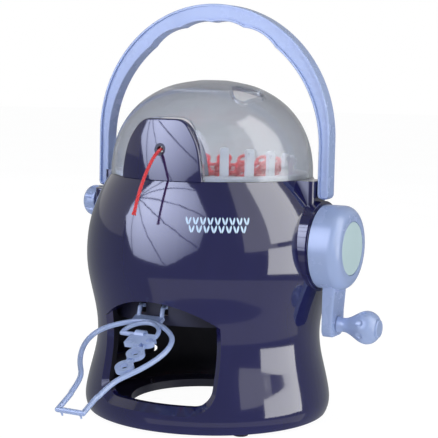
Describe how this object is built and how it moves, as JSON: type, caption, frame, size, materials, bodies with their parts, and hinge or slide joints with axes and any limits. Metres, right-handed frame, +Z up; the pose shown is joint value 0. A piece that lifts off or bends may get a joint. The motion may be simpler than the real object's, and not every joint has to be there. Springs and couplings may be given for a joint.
{
  "type": "knitting machine",
  "caption": "Hand-cranked spool knitter: barrel body with a front window, frosted dome over moving needles, yarn tower, swinging carry handle, side crank and clip-on yarn frame.",
  "frame": {"origin": "on the needle cylinder's axis, at the floor that the feet stand on", "axes": "+Z up along the cylinder's axis, -Y out of the front window, +X towards the crank"},
  "size_m": [0.2008, 0.2193, 0.247],
  "materials": {
    "navy_plastic": "polished navy ABS",
    "dark_plastic": "dark moulded plastic",
    "white_plastic": "white acetal",
    "blue_plastic": "light blue ABS",
    "pale_disc": "pale satin disc",
    "frosted_dome": "frosted clear plastic",
    "steel": "zinc plated",
    "brass": "sintered bush",
    "red_yarn": "twisted wool yarn"
  },
  "bodies": {
    "frame": {"front_shell": "navy_plastic", "rear_shell": "navy_plastic", "shell_screws": "steel", "base_ring": "dark_plastic", "feet": "dark_plastic", "base_screws": "steel", "bearing_deck": "dark_plastic", "mechanism_housing": "dark_plastic", "cam_ring": "white_plastic", "deck_ring": "white_plastic", "shaft_bush": "brass", "yarn_tower": "navy_plastic", "yarn_eyelet": "dark_plastic", "handle_pins": "steel", "yarn_tail": "red_yarn", "yarn_inner": "red_yarn"},
    "cylinder": {"needle_cylinder": "white_plastic", "crown_gear": "white_plastic", "knitted_tube": "red_yarn"},
    "crank": {"crank_shaft": "steel", "bevel_pinion": "white_plastic", "crank_arm": "blue_plastic", "crank_disc": "pale_disc", "crank_screw": "steel", "knob_pin": "steel"},
    "knob": {"crank_knob": "blue_plastic", "knob_cap": "blue_plastic"},
    "handle": {"carry_handle": "blue_plastic"},
    "clamp_knob": {"side_knob": "blue_plastic", "side_knob_screw": "steel"},
    "dome": {"dome": "frosted_dome"},
    "clip_frame": {"yarn_frame": "blue_plastic"},
    "clamp": {"clamp_block": "blue_plastic"},
    "upper_ring": {"ring_upper": "blue_plastic"},
    "lower_ring": {"ring_lower": "blue_plastic"},
    "needle_01": {"needle_01": "white_plastic"},
    "needle_02": {"needle_02": "white_plastic"},
    "needle_03": {"needle_03": "white_plastic"},
    "needle_04": {"needle_04": "white_plastic"},
    "needle_05": {"needle_05": "white_plastic"},
    "needle_06": {"needle_06": "white_plastic"},
    "needle_07": {"needle_07": "white_plastic"},
    "needle_08": {"needle_08": "white_plastic"},
    "needle_09": {"needle_09": "white_plastic"},
    "needle_10": {"needle_10": "white_plastic"},
    "needle_11": {"needle_11": "white_plastic"},
    "needle_12": {"needle_12": "white_plastic"},
    "needle_13": {"needle_13": "white_plastic"},
    "needle_14": {"needle_14": "white_plastic"},
    "needle_15": {"needle_15": "white_plastic"},
    "needle_16": {"needle_16": "white_plastic"},
    "needle_17": {"needle_17": "white_plastic"},
    "needle_18": {"needle_18": "white_plastic"},
    "needle_19": {"needle_19": "white_plastic"},
    "needle_20": {"needle_20": "white_plastic"}
  },
  "joints": [
    {"name": "cylinder_spin", "type": "hinge", "parent": "frame", "child": "cylinder", "pos_m": [0, 0, 0.1], "axis": [0, 0, 1], "continuous": true},
    {"name": "crank_turn", "type": "hinge", "parent": "frame", "child": "crank", "pos_m": [0.08, 0, 0.1064], "axis": [1, 0, 0], "continuous": true},
    {"name": "knob_spin", "type": "hinge", "parent": "crank", "child": "knob", "pos_m": [0.095, 0, 0.0612], "axis": [1, 0, 0], "continuous": true},
    {"name": "handle_swing", "type": "hinge", "parent": "frame", "child": "handle", "pos_m": [0, 0, 0.1405], "axis": [1, 0, 0], "range_deg": [-90, 90]},
    {"name": "side_knob_turn", "type": "hinge", "parent": "frame", "child": "clamp_knob", "pos_m": [-0.085, 0, 0.1235], "axis": [-1, 0, 0], "range_deg": [0, 270]},
    {"name": "dome_lift", "type": "slide", "parent": "frame", "child": "dome", "axis": [0, 0, 1], "range_m": [0, 0.028]},
    {"name": "yarn_frame_lift", "type": "hinge", "parent": "frame", "child": "clip_frame", "pos_m": [-0.0055, -0.0575, 0.0712], "axis": [-1, 0, 0], "range_deg": [0, 15]},
    {"name": "clamp_turn", "type": "hinge", "parent": "clip_frame", "child": "clamp", "pos_m": [-0.002, -0.07767, 0.05776], "axis": [-1, 0, 0], "range_deg": [-25, 25]},
    {"name": "upper_ring_turn", "type": "hinge", "parent": "clamp", "child": "upper_ring", "pos_m": [0.0043, -0.08764, 0.05311], "axis": [-1, 0, 0], "range_deg": [-25, 25]},
    {"name": "lower_ring_turn", "type": "hinge", "parent": "upper_ring", "child": "lower_ring", "pos_m": [0.0043, -0.09906, 0.04779], "axis": [-1, 0, 0], "range_deg": [-25, 25]},
    {"name": "needle_01_slide", "type": "slide", "parent": "cylinder", "child": "needle_01", "axis": [0, 0, 1], "range_m": [-0.00755, 0.00445]},
    {"name": "needle_02_slide", "type": "slide", "parent": "cylinder", "child": "needle_02", "axis": [0, 0, 1], "range_m": [-0.00569, 0.00631]},
    {"name": "needle_03_slide", "type": "slide", "parent": "cylinder", "child": "needle_03", "axis": [0, 0, 1], "range_m": [-0.00385, 0.00815]},
    {"name": "needle_04_slide", "type": "slide", "parent": "cylinder", "child": "needle_04", "axis": [0, 0, 1], "range_m": [-0.00222, 0.00978]},
    {"name": "needle_05_slide", "type": "slide", "parent": "cylinder", "child": "needle_05", "axis": [0, 0, 1], "range_m": [-0.00097, 0.01103]},
    {"name": "needle_06_slide", "type": "slide", "parent": "cylinder", "child": "needle_06", "axis": [0, 0, 1], "range_m": [-0.0002, 0.0118]},
    {"name": "needle_07_slide", "type": "slide", "parent": "cylinder", "child": "needle_07", "axis": [0, 0, 1], "range_m": [-0.00001, 0.01199]},
    {"name": "needle_08_slide", "type": "slide", "parent": "cylinder", "child": "needle_08", "axis": [0, 0, 1], "range_m": [-0.0004, 0.0116]},
    {"name": "needle_09_slide", "type": "slide", "parent": "cylinder", "child": "needle_09", "axis": [0, 0, 1], "range_m": [-0.00134, 0.01066]},
    {"name": "needle_10_slide", "type": "slide", "parent": "cylinder", "child": "needle_10", "axis": [0, 0, 1], "range_m": [-0.00273, 0.00927]},
    {"name": "needle_11_slide", "type": "slide", "parent": "cylinder", "child": "needle_11", "axis": [0, 0, 1], "range_m": [-0.00445, 0.00755]},
    {"name": "needle_12_slide", "type": "slide", "parent": "cylinder", "child": "needle_12", "axis": [0, 0, 1], "range_m": [-0.00631, 0.00569]},
    {"name": "needle_13_slide", "type": "slide", "parent": "cylinder", "child": "needle_13", "axis": [0, 0, 1], "range_m": [-0.00815, 0.00385]},
    {"name": "needle_14_slide", "type": "slide", "parent": "cylinder", "child": "needle_14", "axis": [0, 0, 1], "range_m": [-0.00978, 0.00222]},
    {"name": "needle_15_slide", "type": "slide", "parent": "cylinder", "child": "needle_15", "axis": [0, 0, 1], "range_m": [-0.01103, 0.00097]},
    {"name": "needle_16_slide", "type": "slide", "parent": "cylinder", "child": "needle_16", "axis": [0, 0, 1], "range_m": [-0.0118, 0.0002]},
    {"name": "needle_17_slide", "type": "slide", "parent": "cylinder", "child": "needle_17", "axis": [0, 0, 1], "range_m": [-0.01199, 0.00001]},
    {"name": "needle_18_slide", "type": "slide", "parent": "cylinder", "child": "needle_18", "axis": [0, 0, 1], "range_m": [-0.0116, 0.0004]},
    {"name": "needle_19_slide", "type": "slide", "parent": "cylinder", "child": "needle_19", "axis": [0, 0, 1], "range_m": [-0.01066, 0.00134]},
    {"name": "needle_20_slide", "type": "slide", "parent": "cylinder", "child": "needle_20", "axis": [0, 0, 1], "range_m": [-0.00927, 0.00273]}
  ],
  "couplings": [
    {"joint": "crank_turn", "follows": "cylinder_spin", "ratio": 6}
  ]
}
